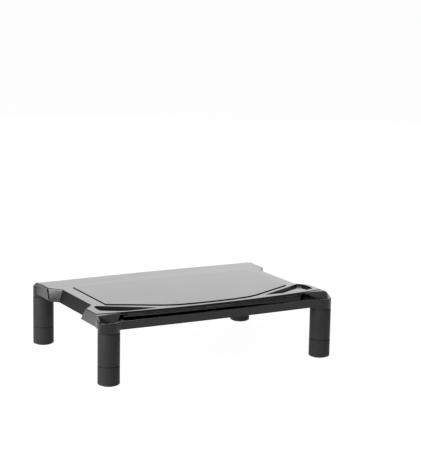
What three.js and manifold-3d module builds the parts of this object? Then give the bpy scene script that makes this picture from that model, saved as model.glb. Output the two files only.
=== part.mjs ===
// Monitor riser: a ribbed plastic platform on four round stacking legs.
// Millimetres, +Z up, +X along the long side, -Y is the front edge.
// The origin is on the ground, in the middle of the four legs.
//
// A thin top deck (with a raised centre panel and two pen trays) is screwed
// from below to an under frame, which carries the four round leg sockets and
// the front rail. Each leg is a spacer column and a foot column that plug
// together with spigots, and a rubber pad is set in the bottom of each foot.
import * as THREE from 'three';
import { ConvexGeometry } from 'three/addons/geometries/ConvexGeometry.js';
import { mergeVertices } from 'three/addons/utils/BufferGeometryUtils.js';
import Module from 'manifold-3d';

const wasm = await Module();
wasm.setup();

// ---------------------------------------------------------------- dimensions
const LEG_X = 175.8;          // leg axes, half spacing along X
const LEG_Y = 121.9;          // leg axes, half spacing along Y
const LEG_R = 15.9;           // outer radius of sockets, spacers and feet
const SEG = 32;               // sides of the round parts
const GAP = 0.3;              // clearance between pieces that touch

const FOOT_TOP = 28.7;        // joint between foot and spacer
const SPACER_TOP = 76.2;      // joint between spacer and socket
const SKIRT_Z = 79.8;         // lower edge of the deck skirt and of the frame
const RIM_Z = 91.6;           // top of the sockets, corner ledges and rail
const DECK_Z = 99.3;          // top face of the deck
const PANEL_Z = 100.5;        // top face of the raised centre panel

const WALL = 2.6;             // deck skirt thickness
const PLATE = 3.0;            // deck plate thickness
const WING_X = 188.0;         // outer face of the corner wings
const FRONT_CORNER_Y = 106.0; // bowed front edge, at the wings
const FRONT_MID_Y = 119.0;    // and at mid length
const REAR_CORNER_Y = 112.0;  // rear edge, at the wings
const REAR_MID_Y = 117.2;     // and at mid length
const NOSE = [[3.4, 99.3], [1.9, 99.0], [0.8, 98.2], [0.15, 97.1], [0, 96.0]];   // rounded front edge: inset, height
const FASCIA_Z = 95.1;        // lower end of the nose
const FASCIA_T = 1.5;         // how far the wall below it is set back

// waisted side walls and wing ends, at the top face and at the lower edge
const WAIST_X = { top: 172.4, low: 177.5 };
const WAIST_Y = { front: { top: 53, low: 44 }, rear: { top: 53, low: 54 } };
const WING_Y = { front: { top: 69.3, low: 50.6 }, rear: { top: 71.5, low: 66 } };
const SLOT = { top: [71.9, 77.4], low: [67.2, 71.4], depth: 4.2 };   // shadow slot in the rear wings

const SPIGOT_R = 12.5;        // spigot on top of each spacer and foot
const BORE_R = 12.8;          // bore that takes a spigot
const SPIGOT_H = 13.8;        // spigot height
const BORE_H = 14.4;          // bore depth in the sockets
const PAD_R = 12.8;           // rubber pad
const PAD_H = 2.9;

const TRAY_DEPTH = 3.5;       // pen trays: steep walls and a flat floor
// pen trays, counter-clockwise
const TRAY_RIGHT = [[89, -101.6], [118, -102.6], [142, -101.6], [163, -99.4], [173, -97.4], [178.6, -93], [180.6, -84],
  [180.4, -70], [178, -63.2], [171.6, -59.4]];
const TRAY_LEFT = [[-92, -106.2], [-168, -61.4], [-171.6, -62.6], [-174, -67], [-175.2, -78], [-175, -87], [-172, -93.6], [-165, -98.4],
  [-154, -102.4], [-138, -106.4], [-118, -107.4]];
// raised panel outline, counter-clockwise
const PANEL_HALF = [[0, -107], [34, -106.2], [60, -103.2], [78, -97.6], [152, -60.6], [153.2, -57.5], [153.2, 58.5], [150.7, 61]];

const RAIL_Y_END = 131.4;     // outer face of the front rail at its ends
const RAIL_Y_MID = 133.6;     // and at mid length
const RAIL_T = 3.6;           // rail wall thickness
const CHANNEL_X = 154.0;      // half length of the channel behind the rail
const FRONT_WALL_X = 147.0;   // half length of the deck wall behind it
const FLOOR_T = 2.5;          // floor of the channel and flanges of the frame
const RING_X = 152.0;         // inner window of the frame
const RING_Y = 99.5;

const SCREWS = [[-62, -109], [62, -109], [-62, 109], [62, 109], [-161.5, -32], [161.5, -32], [-161.5, 32], [161.5, 32]];
const SCREW_HEAD_R = 3.3;
const SCREW_R = 1.5;

// ------------------------------------------------------------------- helpers
const toSolid = (geo) => {
  let g = geo.clone();
  g.deleteAttribute('normal'); g.deleteAttribute('uv');
  g = mergeVertices(g, 1e-4);
  const idx = g.index ? g.index.array : Uint32Array.from({ length: g.attributes.position.count }, (_, i) => i);
  const tri = [];
  for (let i = 0; i < idx.length; i += 3) {
    if (idx[i] !== idx[i + 1] && idx[i + 1] !== idx[i + 2] && idx[i] !== idx[i + 2]) tri.push(idx[i], idx[i + 1], idx[i + 2]);
  }
  return new wasm.Manifold(new wasm.Mesh({
    numProp: 3, vertProperties: new Float32Array(g.attributes.position.array), triVerts: new Uint32Array(tri),
  }));
};
const toGeometry = (solid) => {
  const m = solid.getMesh();
  const g = new THREE.BufferGeometry();
  const pos = new Float32Array(m.numVert * 3);
  for (let i = 0; i < m.numVert; i++) for (let k = 0; k < 3; k++) pos[3 * i + k] = m.vertProperties[m.numProp * i + k];
  g.setAttribute('position', new THREE.BufferAttribute(pos, 3));
  g.setIndex(new THREE.BufferAttribute(new Uint32Array(m.triVerts), 1));
  g.computeVertexNormals();
  return g;
};
// a straight prism over an outline of [x, y] points
const prism = (pts, z0, z1) => {
  const s = new THREE.Shape(pts.map(([x, y]) => new THREE.Vector2(x, y)));
  const g = new THREE.ExtrudeGeometry(s, { depth: z1 - z0, bevelEnabled: false });
  g.translate(0, 0, z0);
  return toSolid(g);
};
const box = (x0, x1, y0, y1, z0, z1) => {
  const g = new THREE.BoxGeometry(x1 - x0, y1 - y0, z1 - z0);
  g.translate((x0 + x1) / 2, (y0 + y1) / 2, (z0 + z1) / 2);
  return toSolid(g);
};
const hull = (pts) => toSolid(new ConvexGeometry(pts.map((p) => new THREE.Vector3(...p))));
// a turned solid about a vertical axis at x, y; the profile is [radius, z] points from axis to axis
const turned = (profile, x = 0, y = 0, seg = SEG) => {
  const g = new THREE.LatheGeometry(profile.map(([r, z]) => new THREE.Vector2(r, z)), seg);
  g.rotateX(Math.PI / 2);
  g.translate(x, y, 0);
  let s = toSolid(g);
  if (s.volume() < 0) {
    const i = g.index.array;
    for (let k = 0; k < i.length; k += 3) { const t = i[k]; i[k] = i[k + 1]; i[k + 1] = t; }
    s = toSolid(g);
  }
  return s;
};
const rod = (r, z0, z1, x = 0, y = 0, seg = SEG) => turned([[0, z0], [r, z0], [r, z1], [0, z1]], x, y, seg);
const join = (...s) => s.reduce((a, b) => a.add(b));
const circle = (r, z, cx, cy, n = SEG, a0 = 0, a1 = 2 * Math.PI) => {
  const out = [];
  const full = Math.abs(a1 - a0 - 2 * Math.PI) < 1e-9;
  const steps = full ? n : n + 1;
  for (let i = 0; i < steps; i++) {
    const a = a0 + (a1 - a0) * i / n;
    out.push([cx + r * Math.cos(a), cy + r * Math.sin(a), z]);
  }
  return out;
};
const mirrorX = (pts) => pts.map(([x, ...rest]) => [-x, ...rest]).reverse();
const mirrorY = (pts) => pts.map(([x, y, ...rest]) => [x, -y, ...rest]).reverse();
// bowed edge: distance from the middle at a given x, for a line `inset` inside the edge
const bow = (mid, corner) => {
  const r = (WING_X ** 2 + (mid - corner) ** 2) / (2 * (mid - corner));
  return (x, inset = 0) => Math.sqrt((r - inset) ** 2 - x * x) - (r - mid);
};
const frontY = bow(FRONT_MID_Y, FRONT_CORNER_Y), rearY = bow(REAR_MID_Y, REAR_CORNER_Y);
const arcPts = (x0, x1, n, f) => Array.from({ length: n + 1 }, (_, i) => { const x = x0 + (x1 - x0) * i / n; return [x, f(x)]; });
const railY = (x, inset = 0) => -(RAIL_Y_MID - (RAIL_Y_MID - RAIL_Y_END) * (x / CHANNEL_X) ** 2) + inset;
const hyp = (p, q) => Math.hypot(p[0] - q[0], p[1] - q[1]);
// outline offset by d (positive grows), for counter-clockwise outlines
const offset = (pts, d) => {
  const n = pts.length, out = [];
  for (let i = 0; i < n; i++) {
    const a = pts[(i + n - 1) % n], b = pts[i], c = pts[(i + 1) % n];
    const l1 = hyp(a, b), l2 = hyp(b, c);
    const n1 = [(b[1] - a[1]) / l1, -(b[0] - a[0]) / l1], n2 = [(c[1] - b[1]) / l2, -(c[0] - b[0]) / l2];
    const k = 1 + n1[0] * n2[0] + n1[1] * n2[1];
    out.push([b[0] + d * (n1[0] + n2[0]) / k, b[1] + d * (n1[1] + n2[1]) / k]);
  }
  return out;
};

// outline with the corners at the given indices rounded by an arc: round = { index: radius }
const soften = (pts, round, steps = 3) => pts.flatMap((b, i) => {
  const r = round[i];
  if (!r) return [b];
  const a = pts[(i + pts.length - 1) % pts.length], c = pts[(i + 1) % pts.length];
  const la = hyp(a, b), lc = hyp(c, b);
  const u = [(a[0] - b[0]) / la, (a[1] - b[1]) / la], v = [(c[0] - b[0]) / lc, (c[1] - b[1]) / lc];
  const ang = Math.acos(u[0] * v[0] + u[1] * v[1]);
  const d = Math.min(r / Math.tan(ang / 2), la * 0.45, lc * 0.45);
  const out = [];
  for (let k = 0; k <= steps; k++) {
    const t = k / steps;                       // a quadratic curve is close enough to the arc
    const w0 = (1 - t) ** 2, w1 = 2 * t * (1 - t), w2 = t * t;
    out.push([w0 * (b[0] + u[0] * d) + w1 * b[0] + w2 * (b[0] + v[0] * d), w0 * (b[1] + u[1] * d) + w1 * b[1] + w2 * (b[1] + v[1] * d)]);
  }
  return out;
});
// a closed solid over a stack of outlines with the same number of points
const loft = (levels) => {
  const n = levels[0].pts.length;
  const pos = [], idx = [];
  for (const { pts, z } of levels) for (const [x, y] of pts) pos.push(x, y, z);
  for (let l = 0; l + 1 < levels.length; l++) for (let i = 0; i < n; i++) {
    const a = l * n + i, b = l * n + (i + 1) % n, c = a + n, d = b + n;
    idx.push(a, b, d, a, d, c);
  }
  const cap = (l, up) => {
    const pts = levels[l].pts.map(([x, y]) => new THREE.Vector2(x, y));
    for (const f of THREE.ShapeUtils.triangulateShape(pts, [])) {
      const t = f.map((k) => l * n + k);
      const [p, q, r] = f.map((k) => pts[k]);
      const ccw = (q.x - p.x) * (r.y - p.y) - (q.y - p.y) * (r.x - p.x) > 0;
      idx.push(...(ccw === up ? t : t.reverse()));
    }
  };
  cap(0, false); cap(levels.length - 1, true);
  const g = new THREE.BufferGeometry();
  g.setAttribute('position', new THREE.Float32BufferAttribute(pos, 3));
  g.setIndex(idx);
  return toSolid(g);
};

const corners = [['front_left', -1, -1], ['front_right', 1, -1], ['rear_left', -1, 1], ['rear_right', 1, 1]];

// ---------------------------------------------------------------------- deck
const mixTop = (p, z) => p.low + (p.top - p.low) * (z - SKIRT_Z) / (DECK_Z - SKIRT_Z);
// outline of the deck at height z, set in by d: bowed front and rear edges, corner wings, waisted sides
const deckOutline = (z, d = 0, grow = 0) => {
  const wx = mixTop(WAIST_X, z);
  const right = [
    ...arcPts(0, 182, 9, (x) => -frontY(x)).slice(1), [WING_X, -FRONT_CORNER_Y - 0.4],
    [WING_X, -mixTop(WING_Y.front, z)], [wx, -mixTop(WAIST_Y.front, z)],
    [wx, mixTop(WAIST_Y.rear, z)], [WING_X, mixTop(WING_Y.rear, z)],
    [WING_X, REAR_CORNER_Y + 0.2], ...arcPts(182, 0, 9, (x) => rearY(x)).slice(0, -1),
  ];
  let pts = [...right, [0, rearY(0)], ...right.map(([x, y]) => [-x, y]).reverse(), [0, -frontY(0)]];
  if (d || grow) pts = offset(pts, grow - d);
  const n = right.length;                     // corners: wing, wing end, waist, waist, wing end, wing
  const round = {};
  [[9, 2.2 - d], [10, 1.6 - d], [11, 2.2 + d], [12, 2.2 + d], [13, 1.6 - d], [14, 3 - d]].forEach(([k, r]) => {
    round[k] = Math.max(0.15, r); round[2 * n - k] = Math.max(0.15, r);
  });
  return soften(pts, round);
};
// rounds the front edge along the NOSE profile, between x0 and x1
const noseCut = (x0, x1, n) => {
  const parts = [];
  for (let i = 0; i < n; i++) {
    const xs = [x0 + (x1 - x0) * i / n - 0.01, x0 + (x1 - x0) * (i + 1) / n + 0.01];
    for (let k = 0; k + 1 < NOSE.length; k++) {
      const [[d1, z1], [d2, z2]] = [NOSE[k], NOSE[k + 1]];
      const p = [];
      for (const x of xs) for (const [d, z] of [[d1, z1], [d1, DECK_Z + 1], [d2, z2], [-2, z2], [-2, DECK_Z + 1]]) p.push([x, -frontY(x, d), z]);
      parts.push(hull(p));
    }
  }
  return join(...parts);
};
// sloping roof that runs from the deck corner down to its foot on the corner ledge;
// outside, it carries on the wing and meets the socket
const roof = (sx, sy, d) => {
  const p = [];
  const up = (x, y, z) => p.push([sx * x, sy * y, z]);
  const edge = sy < 0 ? frontY : rearY;
  const ez = DECK_Z - (sy < 0 ? 0.9 : 0.3) - d * 1.1;
  const low = RIM_Z + GAP;
  for (const x of [152, 161, 170, 178, 184]) up(x + (x < 153 ? d : 0), edge(x) - 0.2 - d, ez);
  up(WING_X - 0.3 - d, edge(WING_X) + 0.2 - d, ez);
  up(WING_X - 0.3 - d, 100, ez); up(153 + d, edge(152) - 8, ez);
  up(158.5 + d, edge(158) - 8, low); up(WING_X - 0.3 - d, 100, low);
  const [dy, y0, z0] = sy < 0 ? [0, 0, 0] : [1.5, 0.4, 0.5];
  for (const [x, y, z] of [[188.7, 110.5, 98.5], [189.0, 114.5, 98.2], [189.3, 117.3, 97.3], [190, 120, 95.6], [190.5, 122.5, 93.8], [190.8, 125, low]]) {
    if (d && z < 95) continue;
    up(x - d, y - d + y0 + dy * (z - low) / 7, Math.max(low, z - d + (z > low ? z0 : 0)));
  }
  // foot of the roof
  for (const q of circle(12.6 - d, low, LEG_X, LEG_Y, d ? 10 : 20, Math.PI * 1.02, Math.PI * -0.12)) up(q[0], q[1], q[2]);
  return hull(p);
};

let deck = loft([
  { z: SKIRT_Z, d: 0.4 }, { z: SKIRT_Z + 0.4, d: 0 }, { z: 97.7, d: 0 }, { z: 98.45, d: 0.22 }, { z: 98.95, d: 0.65 }, { z: DECK_Z, d: 1.35 },
].map(({ z, d }) => ({ z, pts: deckOutline(z, d) })));
deck = deck.subtract(noseCut(-WING_X - 2, WING_X + 2, 16));
for (const [, sx, sy] of corners) {
  deck = deck.add(roof(sx, sy, 0));
  // the wing flares out to meet the socket
  const w = [];
  for (const z of [SKIRT_Z + 0.3, RIM_Z + 1]) {
    for (const [x, y] of [[184.5, 102], [WING_X - 0.03, 102], [WING_X - 0.03, 109.2], [190.25, 114.3], [184.5, 114.3]]) w.push([sx * x, sy * y, z]);
  }
  deck = deck.add(hull(w));
}
// under the band along the front edge the wall is set back
const recess = (x, z0, z1, in_) => prism([...arcPts(-x, x, 14, (q) => -frontY(q, in_)), ...arcPts(x, -x, 14, (q) => -frontY(q, -12))].reverse(), z0, z1);
deck = deck.subtract(recess(FRONT_WALL_X + 4.5, SKIRT_Z - 1, FASCIA_Z, FASCIA_T));
for (const s of [-1, 1]) {
  const e = FRONT_WALL_X + 4.5;
  const x0 = s < 0 ? -e - 6 : FRONT_WALL_X + 0.5, x1 = s < 0 ? -FRONT_WALL_X - 0.5 : e + 6;
  deck = deck.subtract(box(x0, x1, -130, -105.2, SKIRT_Z - 1, FASCIA_Z));
}

// hollow underside
const ceiling = DECK_Z - PLATE;
let cavity = loft([SKIRT_Z - 2, SKIRT_Z + 4, 89, ceiling].map((z) => ({ z, pts: deckOutline(z, WALL) })));
cavity = cavity.subtract(prism([...arcPts(-WING_X, WING_X, 16, (x) => -frontY(x, FASCIA_T + WALL)), [WING_X, -150], [-WING_X, -150]].reverse(), SKIRT_Z - 3, DECK_Z));
for (const s of [-1, 1]) cavity = cavity.subtract(box(s < 0 ? -160 : FRONT_WALL_X - 2, s < 0 ? 2 - FRONT_WALL_X : 160, -125, -102.2, SKIRT_Z - 3, DECK_Z));
for (const t of [TRAY_RIGHT, TRAY_LEFT]) cavity = cavity.subtract(prism(offset(t, 2.2), DECK_Z - TRAY_DEPTH - 2.2, DECK_Z));
// solid backing behind the shadow slots of the rear wings
for (const s of [-1, 1]) {
  const [x0, x1] = [WING_X - SLOT.depth - 2.4, WING_X].map((x) => s * x).sort((a, b) => a - b);
  cavity = cavity.subtract(box(x0, x1, 62, 80, SKIRT_Z - 3, DECK_Z));
}
// ribs under the plate
const RIB_T = 2.0, RIB_Z = 90.8;
for (const x of [-116, -58, 0, 58, 116]) cavity = cavity.subtract(box(x - RIB_T / 2, x + RIB_T / 2, -112, 112, RIB_Z, DECK_Z));
for (const y of [-62, 0, 62]) cavity = cavity.subtract(box(-165, 165, y - RIB_T / 2, y + RIB_T / 2, RIB_Z, DECK_Z));
// screw bosses
const BOSS_R = 4.6;
for (const [x, y] of SCREWS) cavity = cavity.subtract(rod(BOSS_R, SKIRT_Z + FLOOR_T + GAP, DECK_Z, x, y, 16));
deck = deck.subtract(cavity);
for (const [, sx, sy] of corners) deck = deck.subtract(roof(sx, sy, 2.6));

// pen trays: steep walls, a small radius at their foot and a flat floor
const dish = (t) => {
  const ring = (inset, depth) => offset(t, inset).map(([x, y]) => [x, y, DECK_Z - depth]);
  return hull([...ring(0.2, -0.6), ...ring(-0.1, 0.3), ...ring(-0.35, TRAY_DEPTH - 0.8), ...ring(-0.6, TRAY_DEPTH - 0.3), ...ring(-1.1, TRAY_DEPTH)]);
};
deck = deck.subtract(dish(TRAY_RIGHT)).subtract(dish(TRAY_LEFT));

// pocket for the raised panel
const panelOutline = [...PANEL_HALF.filter(([x]) => x > 0), ...mirrorX(PANEL_HALF.filter(([x]) => x > 0)), PANEL_HALF[0]];
deck = deck.subtract(prism(panelOutline, DECK_Z - 1.2, DECK_Z + 2));

// clearance for the frame: sockets, corner blocks, channel floor
const cornerBlock = (sx, sy, grow, z0, z1) => {
  const cx = LEG_X, cy = LEG_Y;
  let pts;
  if (sy < 0) {
    // the rail blends into the socket with a soft inside curve
    pts = [[CHANNEL_X, railY(CHANNEL_X) * -1], [160.3, RAIL_Y_END], [161.8, RAIL_Y_END + 0.22], [163.3, RAIL_Y_END + 0.85], [164.6, RAIL_Y_END + 1.7],
      [166, RAIL_Y_END], [cx, cy], [183, cy - 6], [183, 100], [CHANNEL_X, 100]];
  } else {
    pts = [[152, rearY(152, WALL + 0.3)], [158.5, cy - 4], [160.2, cy], [cx, cy], [183, cy - 6], [183, 100], [152, 100]];
  }
  let o = pts.map(([x, y]) => [sx * x, sy * y]);
  const area = o.reduce((a, p, i) => { const q = o[(i + 1) % o.length]; return a + p[0] * q[1] - q[0] * p[1]; }, 0);
  if (area < 0) o = o.reverse();
  if (grow) o = offset(o, grow);
  return prism(o, z0, z1);
};
for (const [, sx, sy] of corners) {
  deck = deck.subtract(rod(LEG_R + GAP, SKIRT_Z - 2, RIM_Z + GAP, sx * LEG_X, sy * LEG_Y));
  deck = deck.subtract(cornerBlock(sx, sy, GAP, SKIRT_Z - 2, RIM_Z + GAP));
}
// the front wall stops just above the floor of the channel
deck = deck.subtract(box(-CHANNEL_X - 2, CHANNEL_X + 2, -150, -99, SKIRT_Z - 2, SKIRT_Z + FLOOR_T + GAP));
// shadow slot between each rear wing and the slanted waist facet
for (const s of [-1, 1]) {
  const g = [];
  for (const [z, [y0, y1]] of [[SKIRT_Z + 0.9, SLOT.low], [DECK_Z - 1.9, SLOT.top]]) {
    for (const x of [WING_X - SLOT.depth, WING_X + 4]) for (const y of [y0, y1]) g.push([s * x, y, z]);
  }
  deck = deck.subtract(hull(g));
}
// pilot holes in the bosses
for (const [x, y] of SCREWS) deck = deck.subtract(rod(SCREW_R + GAP, SKIRT_Z, DECK_Z - 3.4, x, y, 12));

// --------------------------------------------------------------- under frame
const floorZ = SKIRT_Z + FLOOR_T;
// front: rail, channel floor and flange
let frame = prism([...arcPts(-CHANNEL_X, CHANNEL_X, 10, (x) => railY(x)), ...arcPts(CHANNEL_X, -CHANNEL_X, 1, () => -RING_Y)], SKIRT_Z, floorZ);
frame = frame.add(prism([...arcPts(-CHANNEL_X, CHANNEL_X, 10, (x) => railY(x)), ...arcPts(CHANNEL_X, -CHANNEL_X, 10, (x) => railY(x, RAIL_T))], SKIRT_Z, RIM_Z));
// rear flange, inside the rear wall of the deck
frame = frame.add(prism([...arcPts(-156, 156, 1, () => RING_Y), ...arcPts(156, -156, 12, (x) => rearY(x, WALL + 0.3))], SKIRT_Z, floorZ));
// side flanges
for (const s of [-1, 1]) {
  const x0 = s < 0 ? -170.5 : RING_X, x1 = s < 0 ? -RING_X : 170.5;
  frame = frame.add(box(x0, x1, -102, 102, SKIRT_Z, floorZ));
}
// stiffening webs around the window
const WEB_Z = 88.6, WEB_T = 2.2;
frame = frame.add(box(-RING_X - WEB_T, RING_X + WEB_T, -RING_Y - WEB_T, -RING_Y, SKIRT_Z, WEB_Z));
frame = frame.add(box(-RING_X - WEB_T, RING_X + WEB_T, RING_Y, RING_Y + WEB_T, SKIRT_Z, WEB_Z));
for (const s of [-1, 1]) {
  const x0 = s < 0 ? -RING_X - WEB_T : RING_X, x1 = s < 0 ? -RING_X : RING_X + WEB_T;
  frame = frame.add(box(x0, x1, -RING_Y - WEB_T, RING_Y + WEB_T, SKIRT_Z, WEB_Z));
}
// sockets and the corner blocks around them
for (const [, sx, sy] of corners) {
  frame = frame.add(turned([[0, SPACER_TOP], [LEG_R - 0.5, SPACER_TOP], [LEG_R, SPACER_TOP + 0.5], [LEG_R, RIM_Z - 1.3], [LEG_R - 0.25, RIM_Z - 0.6], [LEG_R - 0.7, RIM_Z - 0.2], [LEG_R - 1.4, RIM_Z], [0, RIM_Z]], sx * LEG_X, sy * LEG_Y));
  frame = frame.add(cornerBlock(sx, sy, 0, SKIRT_Z, RIM_Z));
}
for (const [, sx, sy] of corners) {
  // bore with a lead-in
  const c = 0.7;
  frame = frame.subtract(turned([[0, SPACER_TOP - 1], [BORE_R + c, SPACER_TOP - 1], [BORE_R + c, SPACER_TOP], [BORE_R, SPACER_TOP + c], [BORE_R, SPACER_TOP + BORE_H], [0, SPACER_TOP + BORE_H]], sx * LEG_X, sy * LEG_Y));
  // coring of the thick corner, from below
  if (sy < 0) frame = frame.subtract(box(sx < 0 ? -CHANNEL_X - 4.8 : CHANNEL_X + 2.2, sx < 0 ? -CHANNEL_X - 2.2 : CHANNEL_X + 4.8, -126, -103, SKIRT_Z - 1, RIM_Z - 2.4));
}
// screw holes with counterbores
for (const [x, y] of SCREWS) {
  frame = frame.subtract(rod(SCREW_R + 0.6, SKIRT_Z - 1, floorZ + 1, x, y, 14));
}

// --------------------------------------------------------------- raised panel
const panel = prism(offset(panelOutline, -GAP), DECK_Z - 1.2 + GAP, PANEL_Z);

// ----------------------------------------------------------------- leg pieces
const GROOVE = 0.35;          // small chamfer on the joint edges
const REVEAL = { d: 1.2, h: 0.9 };   // step at the top of each column that leaves a dark line at the joint
const spigotBoss = (z) => [[SPIGOT_R, z], [SPIGOT_R, z + SPIGOT_H - 1.0], [SPIGOT_R - 0.9, z + SPIGOT_H], [SPIGOT_R - 2.6, z + SPIGOT_H]];
const spacer = (sx, sy) => {
  const z0 = FOOT_TOP + GAP / 2, z1 = SPACER_TOP - GAP / 2;
  return turned([
    [0, z1 - 6], [SPIGOT_R - 2.6, z1 - 6], ...spigotBoss(z1).reverse(), [LEG_R - REVEAL.d, z1], [LEG_R - REVEAL.d, z1 - REVEAL.h], [LEG_R - GROOVE, z1 - REVEAL.h],
    [LEG_R, z1 - REVEAL.h - GROOVE], [LEG_R, z0 + GROOVE], [LEG_R - GROOVE, z0], [BORE_R + 0.7, z0], [BORE_R, z0 + 0.7],
    [BORE_R, z1 - 9], [0, z1 - 9]], sx * LEG_X, sy * LEG_Y);
};
const foot = (sx, sy) => {
  const z1 = FOOT_TOP - GAP / 2, z0 = 1.1;
  return turned([
    [0, z1 - 6], [SPIGOT_R - 2.6, z1 - 6], ...spigotBoss(z1).reverse(), [LEG_R - REVEAL.d, z1], [LEG_R - REVEAL.d, z1 - REVEAL.h], [LEG_R - GROOVE, z1 - REVEAL.h],
    [LEG_R, z1 - REVEAL.h - GROOVE], [LEG_R, z0 + 2.4], [LEG_R - 0.5, z0 + 1.1], [LEG_R - 1.5, z0 + 0.25], [LEG_R - 2.4, z0], [PAD_R + GAP, z0],
    [PAD_R + GAP, PAD_H + GAP], [8, PAD_H + GAP], [8, z1 - 9], [0, z1 - 9]], sx * LEG_X, sy * LEG_Y);
};
const pad = (sx, sy) => turned([
  [0, 0], [PAD_R - 0.7, 0], [PAD_R, 0.7], [PAD_R, PAD_H], [7.6, PAD_H], [7.6, PAD_H + 4.5], [6.8, PAD_H + 5.3], [0, PAD_H + 5.3]], sx * LEG_X, sy * LEG_Y, 24);

// ---------------------------------------------------------------------- screw
// pan head with a cross recess, driven up into the deck boss
const screw = (x, y) => {
  const zs = SKIRT_Z - 0.2;   // underside of the head
  let s = turned([[0, zs - 2.0], [SCREW_HEAD_R - 1.1, zs - 2.0], [SCREW_HEAD_R - 0.3, zs - 1.4], [SCREW_HEAD_R, zs - 0.6], [SCREW_HEAD_R, zs],
    [SCREW_R, zs], [SCREW_R, zs + 12.4], [0.3, zs + 14.2], [0, zs + 14.2]], x, y, 14);
  s = s.subtract(box(x - 1.9, x + 1.9, y - 0.35, y + 0.35, zs - 3, zs - 1.0));
  s = s.subtract(box(x - 0.35, x + 0.35, y - 1.9, y + 1.9, zs - 3, zs - 1.0));
  return s;
};

// ------------------------------------------------------------------- assembly
const plastic = (hex, rough) => new THREE.MeshStandardMaterial({ color: hex, roughness: rough, metalness: 0 });
const deckPlastic = plastic(0x2b2b2c, 0.38);
const panelPlastic = plastic(0x2d2d2e, 0.42);
const framePlastic = plastic(0x262627, 0.5);
const legPlastic = plastic(0x2a2a2b, 0.55);
const rubber = plastic(0x151515, 0.9);
const steel = new THREE.MeshStandardMaterial({ color: 0x8c8e90, roughness: 0.35, metalness: 1 });

const root = new THREE.Group();
const put = (group, name, solid, material) => {
  const m = new THREE.Mesh(toGeometry(solid), material);
  m.name = name;
  group.add(m);
};
put(root, 'top_deck', deck, deckPlastic);
put(root, 'centre_panel', panel, panelPlastic);
put(root, 'under_frame', frame, framePlastic);
SCREWS.forEach(([x, y], i) => put(root, `deck_screw_${i + 1}`, screw(x, y), steel));
for (const [name, sx, sy] of corners) {
  const leg = new THREE.Group();
  put(leg, `leg_spacer_${name}`, spacer(sx, sy), legPlastic);
  put(leg, `leg_foot_${name}`, foot(sx, sy), legPlastic);
  put(leg, `foot_pad_${name}`, pad(sx, sy), rubber);
  root.add(leg);
}
export default root;
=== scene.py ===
"""Monitor riser on four stacking legs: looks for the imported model. Blender 4.5."""
import math

import bmesh
import bpy
from mathutils import Matrix, Vector


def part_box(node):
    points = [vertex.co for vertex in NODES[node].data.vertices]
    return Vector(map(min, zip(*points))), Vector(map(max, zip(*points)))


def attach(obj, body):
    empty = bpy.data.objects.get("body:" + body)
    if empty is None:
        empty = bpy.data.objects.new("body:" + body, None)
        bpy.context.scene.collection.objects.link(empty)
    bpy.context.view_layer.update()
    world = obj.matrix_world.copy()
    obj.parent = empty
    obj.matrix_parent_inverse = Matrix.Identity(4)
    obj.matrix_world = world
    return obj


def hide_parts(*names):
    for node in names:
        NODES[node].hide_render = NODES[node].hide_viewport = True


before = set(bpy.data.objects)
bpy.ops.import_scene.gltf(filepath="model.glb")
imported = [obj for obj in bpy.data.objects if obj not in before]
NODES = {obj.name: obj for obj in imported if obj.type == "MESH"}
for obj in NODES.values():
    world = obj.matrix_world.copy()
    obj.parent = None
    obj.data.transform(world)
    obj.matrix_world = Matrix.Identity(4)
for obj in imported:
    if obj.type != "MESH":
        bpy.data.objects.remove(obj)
cad_low, cad_high = None, None
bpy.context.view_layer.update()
MM = 0.001

# ------------------------------------------------------------------ node helpers


def new_material(name):
    m = bpy.data.materials.new(name)
    m.use_nodes = True
    nt = m.node_tree
    for n in list(nt.nodes):
        nt.nodes.remove(n)
    out = nt.nodes.new("ShaderNodeOutputMaterial")
    bsdf = nt.nodes.new("ShaderNodeBsdfPrincipled")
    nt.links.new(bsdf.outputs[0], out.inputs[0])
    return m, nt, bsdf


def noise(nt, scale, detail=2.0, rough=0.5, coord=None, stretch=None):
    n = nt.nodes.new("ShaderNodeTexNoise")
    n.inputs["Scale"].default_value = scale
    n.inputs["Detail"].default_value = detail
    n.inputs["Roughness"].default_value = rough
    src = coord
    if stretch:
        mp = nt.nodes.new("ShaderNodeMapping")
        mp.inputs["Scale"].default_value = stretch
        nt.links.new(coord, mp.inputs[0])
        src = mp.outputs[0]
    nt.links.new(src, n.inputs["Vector"])
    return n.outputs["Fac"]


def ramp(nt, fac, stops):
    r = nt.nodes.new("ShaderNodeValToRGB")
    e = r.color_ramp.elements
    while len(e) < len(stops):
        e.new(0.5)
    for i, (pos, v) in enumerate(stops):
        e[i].position = pos
        c = v if isinstance(v, (tuple, list)) else (v, v, v)
        e[i].color = (*c, 1)
    nt.links.new(fac, r.inputs[0])
    return r.outputs[0]


def mix_rgb(nt, fac, a, b, mode="MIX"):
    m = nt.nodes.new("ShaderNodeMix")
    m.data_type = "RGBA"
    m.blend_type = mode
    for sock, v in ((m.inputs[0], fac), (m.inputs[6], a), (m.inputs[7], b)):
        if hasattr(v, "is_linked") or hasattr(v, "links"):
            nt.links.new(v, sock)
        elif isinstance(v, (tuple, list)):
            sock.default_value = (*v, 1)
        else:
            sock.default_value = v
    return m.outputs[2]


def maths(nt, op, a, b=None, clamp=False):
    m = nt.nodes.new("ShaderNodeMath")
    m.operation = op
    m.use_clamp = clamp
    for i, v in enumerate((a, b)):
        if v is None:
            continue
        if hasattr(v, "links"):
            nt.links.new(v, m.inputs[i])
        else:
            m.inputs[i].default_value = v
    return m.outputs[0]


def bump(nt, height, strength, distance, normal=None):
    b = nt.nodes.new("ShaderNodeBump")
    b.inputs["Strength"].default_value = strength
    b.inputs["Distance"].default_value = distance
    nt.links.new(height, b.inputs["Height"])
    if normal is not None:
        nt.links.new(normal, b.inputs["Normal"])
    return b.outputs[0]


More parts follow.
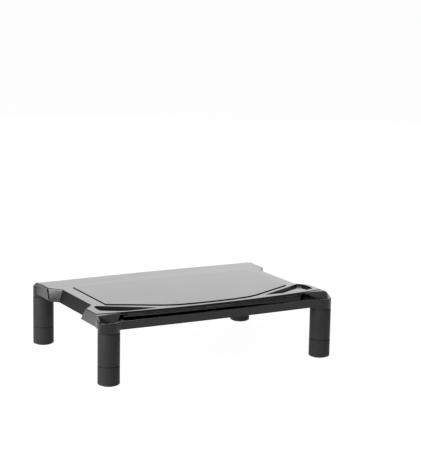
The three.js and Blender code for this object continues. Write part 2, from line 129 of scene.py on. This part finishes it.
def moulded(name, base, light, rough, grain=900, grain_depth=0.00003, ior=1.5, wear_and_highlight=0.5, coat=0.0, spec=0.5):
    """Moulded plastic: fine spark grain, faint flow clouds, convex edges lightened in colour: part rubbed wear, part
    painted highlight.
    """
    m, nt, b = new_material(name)
    tc = nt.nodes.new("ShaderNodeTexCoord")
    co = tc.outputs["Object"]
    clouds = noise(nt, 14, 3, 0.55, co)
    fine = noise(nt, grain, 2, 0.6, co)
    specks = noise(nt, grain * 2.3, 1, 0.5, co)
    geo = nt.nodes.new("ShaderNodeNewGeometry")
    # painted highlight, partly rubbed wear: convex edges (pointiness) get a lighter colour
    rubbed_highlight_edge = ramp(nt, geo.outputs["Pointiness"], [(0.50, 0.0), (0.56, 1.0)])
    colour = mix_rgb(nt, ramp(nt, clouds, [(0.3, 0.0), (0.7, 1.0)]), base, light)
    colour = mix_rgb(nt, maths(nt, "MULTIPLY", rubbed_highlight_edge, 0.35 * wear_and_highlight), colour, tuple(min(1, c * 2.6 + 0.012) for c in light))
    nt.links.new(colour, b.inputs["Base Color"])
    rv = maths(nt, "MULTIPLY_ADD", clouds, 0.08)
    rv.node.inputs[2].default_value = rough - 0.04
    rv2 = maths(nt, "MULTIPLY_ADD", specks, 0.06)
    nt.links.new(rv, rv2.node.inputs[2])
    rv3 = maths(nt, "SUBTRACT", rv2, maths(nt, "MULTIPLY", rubbed_highlight_edge, 0.08), clamp=True)
    nt.links.new(rv3, b.inputs["Roughness"])
    height = maths(nt, "ADD", fine, maths(nt, "MULTIPLY", specks, 0.5))
    nt.links.new(bump(nt, height, 0.35, grain_depth), b.inputs["Normal"])
    b.inputs["IOR"].default_value = ior
    b.inputs["Specular IOR Level"].default_value = spec
    b.inputs["Coat Weight"].default_value = coat
    b.inputs["Coat Roughness"].default_value = 0.25
    return m


M_DECK = moulded("deck_satin_black", (0.0030, 0.0030, 0.0031), (0.0042, 0.0042, 0.0043), 0.14, grain=1100, grain_depth=0.000012, ior=1.53)
# darker than the deck's plastic: painted shade on the recessed side walls; matt grain
M_SIDE_PAINTED_SHADE = moulded("deck_matt_side_painted_shade", (0.0016, 0.0016, 0.0017), (0.0024, 0.0024, 0.0025), 0.50, grain=700, grain_depth=0.00005, ior=1.5, spec=0.15)
M_PANEL = moulded("panel_satin_black", (0.0030, 0.0030, 0.0031), (0.0045, 0.0045, 0.0046), 0.20, grain=1300, grain_depth=0.000020, ior=1.53)
M_FRAME = moulded("frame_black", (0.0040, 0.0040, 0.0041), (0.0060, 0.0060, 0.0061), 0.24, grain=900, grain_depth=0.00002, ior=1.5, spec=0.34)
# lighter than the deck's plastic: painted fill light for the shaded front wall of the recess
M_WALL_PAINTED_LIGHT = moulded("deck_front_wall_painted_light", (0.050, 0.050, 0.0502), (0.058, 0.058, 0.0582), 0.45, grain=700, grain_depth=0.00004, ior=1.5, spec=0.4)
M_LEG = moulded("leg_matt_black", (0.017, 0.017, 0.0172), (0.022, 0.022, 0.0222), 0.50, grain=850, grain_depth=0.00004, ior=1.5, spec=0.11)


def rubber_material():
    m, nt, b = new_material("pad_rubber")
    tc = nt.nodes.new("ShaderNodeTexCoord")
    co = tc.outputs["Object"]
    n1 = noise(nt, 500, 4, 0.65, co)
    n2 = noise(nt, 30, 3, 0.5, co)
    nt.links.new(mix_rgb(nt, ramp(nt, n2, [(0.35, 0.0), (0.7, 1.0)]), (0.012, 0.012, 0.012), (0.030, 0.029, 0.028)), b.inputs["Base Color"])
    nt.links.new(ramp(nt, n1, [(0.2, 0.72), (0.8, 0.95)]), b.inputs["Roughness"])
    nt.links.new(bump(nt, n1, 0.5, 0.00008), b.inputs["Normal"])
    return m


def steel_material():
    m, nt, b = new_material("screw_steel")
    tc = nt.nodes.new("ShaderNodeTexCoord")
    co = tc.outputs["Object"]
    n1 = noise(nt, 1500, 3, 0.6, co)
    n2 = noise(nt, 220, 3, 0.5, co)
    nt.links.new(mix_rgb(nt, ramp(nt, n2, [(0.3, 0.0), (0.7, 1.0)]), (0.46, 0.46, 0.45), (0.60, 0.59, 0.56)), b.inputs["Base Color"])
    nt.links.new(ramp(nt, n2, [(0.2, 0.26), (0.8, 0.42)]), b.inputs["Roughness"])
    nt.links.new(bump(nt, n1, 0.3, 0.00002), b.inputs["Normal"])
    b.inputs["Metallic"].default_value = 1.0
    return m


M_RUBBER = rubber_material()
M_STEEL = steel_material()

# ------------------------------------------------------------------ mesh helpers


def link(mesh, name, material):
    o = bpy.data.objects.new(name, mesh)
    bpy.context.scene.collection.objects.link(o)
    mesh.materials.clear()
    mesh.materials.append(material)
    return o


def sharpen(bm, angle):
    lim = math.radians(angle)
    for f in bm.faces:
        f.smooth = True
    for e in bm.edges:
        e.smooth = not (len(e.link_faces) == 2 and e.calc_face_angle(0) > lim)


def clean_copy(node, name, material):
    """The CAD node's mesh, welded and with its flat faces merged."""
    src = NODES[node]
    bm = bmesh.new()
    bm.from_mesh(src.data)
    bmesh.ops.remove_doubles(bm, verts=bm.verts, dist=2e-6)
    bmesh.ops.dissolve_limit(bm, angle_limit=math.radians(0.25), verts=bm.verts, edges=bm.edges, delimit=set())
    mesh = bpy.data.meshes.new(name)
    bm.to_mesh(mesh)
    bm.free()
    return link(mesh, name, material)


def finish_piece(o, node, width=0.45, angle=26, segments=3):
    """Sharp edges, a small bevel and weighted normals; the piece replaces its CAD node."""
    bm = bmesh.new()
    bm.from_mesh(o.data)
    sharpen(bm, angle)
    bm.to_mesh(o.data)
    bm.free()
    b = o.modifiers.new("bevel", "BEVEL")
    b.width = width * MM
    b.segments = segments
    b.limit_method = "ANGLE"
    b.angle_limit = math.radians(angle)
    b.use_clamp_overlap = True
    b.harden_normals = False
    b.miter_outer = "MITER_ARC"
    w = o.modifiers.new("normals", "WEIGHTED_NORMAL")
    w.keep_sharp = True
    w.weight = 60
    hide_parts(node)
    return o


def baked(o, name, material):
    """Applies the modifiers of a mesh object."""
    bpy.context.view_layer.update()
    mesh = bpy.data.meshes.new_from_object(o.evaluated_get(bpy.context.evaluated_depsgraph_get()))
    old = o.data
    bpy.data.objects.remove(o)
    bpy.data.meshes.remove(old)
    mesh.name = name
    return link(mesh, name, material)


def cut(o, cutter, operation="DIFFERENCE"):
    m = o.modifiers.new("cut", "BOOLEAN")
    m.operation = operation
    m.solver = "EXACT"
    m.object = cutter
    return m


def rounded(profile, radii, steps=4):
    """Rounds the corners of a closed-to-axis profile of (r, z) in mm; radii is {index: radius}."""
    out = []
    for i, p in enumerate(profile):
        r = radii.get(i, 0)
        if r <= 0 or i == 0 or i == len(profile) - 1:
            out.append(tuple(p))
            continue
        a, c = Vector(profile[i - 1]), Vector(profile[i + 1])
        b = Vector(p)
        u, v = (a - b), (c - b)
        lu, lv = u.length, v.length
        u.normalize()
        v.normalize()
        ang = math.acos(max(-1, min(1, u.dot(v))))
        d = min(r / math.tan(ang / 2), lu * 0.49, lv * 0.49)
        rr = d * math.tan(ang / 2)
        bis = (u + v).normalized()
        centre = b + bis * (rr / math.sin(ang / 2))
        s, e = b + u * d - centre, b + v * d - centre
        a0, a1 = math.atan2(s.y, s.x), math.atan2(e.y, e.x)
        while a1 - a0 > math.pi:
            a1 -= 2 * math.pi
        while a1 - a0 < -math.pi:
            a1 += 2 * math.pi
        for k in range(steps + 1):
            t = a0 + (a1 - a0) * k / steps
            out.append((centre.x + rr * math.cos(t), centre.y + rr * math.sin(t)))
    return out


def lathe(name, profile, x, y, material, seg=96, angle=35):
    bm = bmesh.new()
    rings = []
    for r, z in profile:
        if r < 1e-6:
            rings.append([bm.verts.new((x * MM, y * MM, z * MM))])
        else:
            rings.append([bm.verts.new(((x + r * math.cos(2 * math.pi * k / seg)) * MM, (y + r * math.sin(2 * math.pi * k / seg)) * MM, z * MM)) for k in range(seg)])
    for a, b in zip(rings, rings[1:]):
        for k in range(seg):
            j = (k + 1) % seg
            if len(a) == 1 and len(b) == 1:
                continue
            if len(a) == 1:
                bm.faces.new((a[0], b[j], b[k]))
            elif len(b) == 1:
                bm.faces.new((a[k], a[j], b[0]))
            else:
                bm.faces.new((a[k], a[j], b[j], b[k]))
    bmesh.ops.recalc_face_normals(bm, faces=bm.faces)
    sharpen(bm, angle)
    mesh = bpy.data.meshes.new(name)
    bm.to_mesh(mesh)
    bm.free()
    return link(mesh, name, material)


# ------------------------------------------------------------------ pieces
LEGS = {}
for c in ("front_left", "front_right", "rear_left", "rear_right"):
    lo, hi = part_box(f"leg_spacer_{c}")
    LEGS[c] = ((lo.x + hi.x) / 2 * 1000, (lo.y + hi.y) / 2 * 1000)

# leg joints and radii, as in the CAD
R_LEG, R_SPIGOT, R_BORE, H_SPIGOT = 15.9, 12.5, 12.8, 13.8
Z_FOOT, Z_SPACER, Z_RIM, CLEAR = 28.7, 76.2, 91.6, 0.3


def drop(o):
    mesh = o.data
    bpy.data.objects.remove(o)
    bpy.data.meshes.remove(mesh)


def joined(name, parts):
    """Several separate closed meshes as one object, for a boolean."""
    bm = bmesh.new()
    for p in parts:
        bm.from_mesh(p.data)
        drop(p)
    mesh = bpy.data.meshes.new(name)
    bm.to_mesh(mesh)
    bm.free()
    return link(mesh, name, M_FRAME)


deck = finish_piece(clean_copy("top_deck", "deck_shell", M_DECK), "top_deck")
panel = finish_piece(clean_copy("centre_panel", "panel_plate", M_PANEL), "centre_panel", width=0.35)

# the frame, with finely turned sockets and bores
under = clean_copy("under_frame", "frame_moulding", M_FRAME)
socket = rounded([(0, Z_SPACER), (R_LEG + 0.02, Z_SPACER), (R_LEG + 0.02, Z_RIM + 0.01), (0, Z_RIM + 0.01)], {1: 0.5, 2: 1.25}, 6)
bore = [(0, Z_SPACER - 1), (R_BORE + 0.7, Z_SPACER - 1), (R_BORE + 0.7, Z_SPACER), (R_BORE, Z_SPACER + 0.7), (R_BORE, Z_SPACER + 14.4), (0, Z_SPACER + 14.4)]
full = joined("sockets", [lathe("s", socket, x, y, M_FRAME, seg=112) for x, y in LEGS.values()])
hole = joined("bores", [lathe("b", bore, x, y, M_FRAME, seg=112) for x, y in LEGS.values()])
cut(under, full, "UNION")
cut(under, hole)
under = baked(under, "frame_moulding", M_FRAME)
drop(full)
drop(hole)
finish_piece(under, "under_frame", width=1.0)

# the recessed side walls between the wings have a matt grain and a darker colour, painted shade
deck.data.materials.append(M_SIDE_PAINTED_SHADE)
deck.data.materials.append(M_WALL_PAINTED_LIGHT)
for p in deck.data.polygons:
    c = p.center / MM
    if abs(p.normal.x) > 0.9 and 170 < abs(c.x) < 179 and abs(c.y) < 54 and c.z < 98:
        p.material_index = 1
    # the deck's front wall in the recess has a lighter colour, painted fill light in its shade
    elif p.normal.y < -0.8 and c.y < -100 and abs(c.x) < 150 and c.z < 95.6:
        p.material_index = 2
for o, slot in ((deck, "deck_plastic"), (panel, "panel_plastic"), (under, "frame_plastic")):
    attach(o, "platform")


def leg_head(z1):
    """Spigot and shoulder on top of a leg piece, from the axis outwards and down."""
    return [(0, z1 - 6), (9.9, z1 - 6), (9.9, z1 + H_SPIGOT), (R_SPIGOT, z1 + H_SPIGOT), (R_SPIGOT, z1), (R_LEG - 1.2, z1),
            (R_LEG - 1.2, z1 - 0.9), (R_LEG, z1 - 0.9)]


for c, (x, y) in LEGS.items():
    z0, z1 = Z_FOOT + CLEAR / 2, Z_SPACER - CLEAR / 2
    prof = leg_head(z1) + [(R_LEG, z0), (R_BORE, z0), (R_BORE, z1 - 9), (0, z1 - 9)]
    o = lathe(f"spacer_column_{c}", rounded(prof, {1: 0.6, 2: 0.5, 3: 1.2, 4: 0.35, 5: 0.2, 6: 0.2, 7: 0.4, 8: 0.45, 9: 0.7, 10: 1.2}), x, y, M_LEG)
    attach(o, f"spacer_{c}")
    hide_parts(f"leg_spacer_{c}")
    z1, z0 = Z_FOOT - CLEAR / 2, 1.1
    prof = leg_head(z1) + [(R_LEG, z0), (R_BORE + CLEAR, z0), (R_BORE + CLEAR, 3.2), (8, 3.2), (8, z1 - 9), (0, z1 - 9)]
    o = lathe(f"foot_column_{c}", rounded(prof, {1: 0.6, 2: 0.5, 3: 1.2, 4: 0.35, 5: 0.2, 6: 0.2, 7: 0.4, 8: 2.6, 9: 0.3, 11: 0.4, 12: 0.8}, 6), x, y, M_LEG)
    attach(o, f"foot_{c}")
    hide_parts(f"leg_foot_{c}")
    # pad with concentric tread grooves and a plug
    prof = [(0, 8.2), (6.8, 8.2), (7.6, 7.4), (7.6, 2.9), (12.8, 2.9), (12.8, 0), (11.3, 0), (11.3, 0.7), (10.2, 0.7), (10.2, 0),
            (8.4, 0), (8.4, 0.7), (7.3, 0.7), (7.3, 0), (5.5, 0), (5.5, 0.7), (4.4, 0.7), (4.4, 0), (2.6, 0), (2.6, 0.7), (0, 0.7)]
    o = lathe(f"pad_disc_{c}", rounded(prof, {1: 0.3, 2: 0.3, 3: 0.3, 4: 0.3, 5: 0.6, 6: 0.2, 9: 0.2, 10: 0.2, 13: 0.2, 14: 0.2, 17: 0.2, 18: 0.2}, 2), x, y, M_RUBBER)
    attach(o, f"foot_{c}")
    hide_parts(f"foot_pad_{c}")


def arm_cutter(x, y, z, a):
    """One tapered arm of the cross recess, open at z."""
    bm = bmesh.new()
    r = Matrix.Rotation(a, 4, "Z")
    for zz, hw, hl in ((-0.4, 0.42, 2.05), (1.15, 0.24, 0.9)):
        for sx, sy in ((-1, -1), (1, -1), (1, 1), (-1, 1)):
            p = r @ Vector((sx * hl, sy * hw, 0))
            bm.verts.new(((x + p.x) * MM, (y + p.y) * MM, (z + zz) * MM))
    bmesh.ops.convex_hull(bm, input=bm.verts[:])
    bmesh.ops.recalc_face_normals(bm, faces=bm.faces)
    mesh = bpy.data.meshes.new("arm")
    bm.to_mesh(mesh)
    bm.free()
    return link(mesh, "arm", M_STEEL)


SCREW_AT = {}
for n in NODES:
    if n.startswith("deck_screw"):
        lo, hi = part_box(n)
        SCREW_AT[n] = ((lo.x + hi.x) / 2 * 1000, (lo.y + hi.y) / 2 * 1000, lo.z * 1000)
for n, (x, y, zb) in SCREW_AT.items():
    zs = zb + 2.0
    prof = [(0, zb), (1.5, zb + 0.04), (2.4, zb + 0.3), (2.95, zb + 0.75), (3.25, zb + 1.4), (3.3, zb + 1.8), (3.2, zs), (1.45, zs), (1.45, zs + 1.2)]
    z = zs + 1.2
    while z < zs + 11.6:
        prof += [(1.12, z + 0.25), (1.12, z + 0.55), (1.5, z + 0.85), (1.5, z + 0.95)]
        z += 1.1
    prof += [(1.0, z + 0.6), (0.35, zs + 13.9), (0, zs + 14.1)]
    o = lathe(f"pan_head_{n[-1]}", prof, x, y, M_STEEL, seg=36, angle=38)
    arms = [arm_cutter(x, y, zb, 0), arm_cutter(x, y, zb, math.pi / 2)]
    for arm in arms:
        cut(o, arm)
    o = baked(o, f"pan_head_{n[-1]}", M_STEEL)
    for arm in arms:
        drop(arm)
    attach(o, "platform")
    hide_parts(n)

# ------------------------------------------------------------------ stage, light, camera
fm, nt, b = new_material("floor_pale")
tc = nt.nodes.new("ShaderNodeTexCoord")
n = noise(nt, 3, 3, 0.5, tc.outputs["Object"])
nt.links.new(mix_rgb(nt, n, (0.060, 0.060, 0.060), (0.075, 0.075, 0.075)), b.inputs["Base Color"])
b.inputs["Roughness"].default_value = 0.9
b.inputs["Specular IOR Level"].default_value = 0.1
b.inputs["Emission Color"].default_value = (1, 1, 1, 1)
b.inputs["Emission Strength"].default_value = 0.96
bm = bmesh.new()
bmesh.ops.create_circle(bm, cap_ends=True, segments=96, radius=60)
me = bpy.data.meshes.new("floor")
bm.to_mesh(me)
bm.free()
floor = link(me, "floor", fm)
floor.location.z = -0.0002

world = bpy.data.worlds.new("studio")
bpy.context.scene.world = world
world.use_nodes = True
bg = world.node_tree.nodes["Background"]
wt = world.node_tree
wc = wt.nodes.new("ShaderNodeTexCoord")
sep = wt.nodes.new("ShaderNodeSeparateXYZ")
wt.links.new(wc.outputs["Generated"], sep.inputs[0])
wt.links.new(ramp(wt, sep.outputs["Z"], [(0.0, 0.22), (0.3, 0.25), (0.62, 0.30), (0.85, 0.10), (1.0, 0.06)]), bg.inputs[0])
bg.inputs[1].default_value = 1.0


def area(name, loc, target, size, power, size_y=None):
    d = bpy.data.lights.new(name, "AREA")
    d.energy = power
    d.shape = "RECTANGLE" if size_y else "SQUARE"
    d.size = size
    if size_y:
        d.size_y = size_y
    o = bpy.data.objects.new(name, d)
    bpy.context.scene.collection.objects.link(o)
    o.location = loc
    o.rotation_euler = (Vector(target) - Vector(loc)).to_track_quat("-Z", "Y").to_euler()
    return o


area("key", (-1.85, -0.1, 1.03), (0, 0, 0.06), 1.6, 78)
BACK = Vector((math.sin(math.radians(28.7)), math.cos(math.radians(28.7)), 0))
area("back_box", BACK * 3.0 + Vector((0, 0, 1.02)), (0, 0, 0.1), 4.4, 39, 2.0)
area("front_fill", BACK * -2.9 + Vector((0.3, 0, 2.5)), (0, 0, 0.1), 1.2, 38)

YAW, PITCH, ROLL, FPX = math.radians(28.74), math.radians(10.43), math.radians(1.03), 1408.0
F = Vector((math.sin(YAW) * math.cos(PITCH), math.cos(YAW) * math.cos(PITCH), -math.sin(PITCH)))
R = Vector((math.cos(YAW), -math.sin(YAW), 0))
U = R.cross(F)
R2 = math.cos(ROLL) * R + math.sin(ROLL) * U
U2 = -math.sin(ROLL) * R + math.cos(ROLL) * U
cam_data = bpy.data.cameras.new("camera")
cam_data.sensor_width = 36
cam_data.lens = FPX * 36 / 450
cam_data.clip_end = 200
cam = bpy.data.objects.new("camera", cam_data)
bpy.context.scene.collection.objects.link(cam)
m = Matrix((R2, U2, -F)).transposed().to_4x4()
m.translation = Vector((-0.9714, -1.8626, 0.5822))
cam.matrix_world = m
bpy.context.scene.camera = cam
bpy.context.scene.view_settings.view_transform = "Standard"
bpy.context.scene.view_settings.look = "None"

bpy.context.view_layer.update()
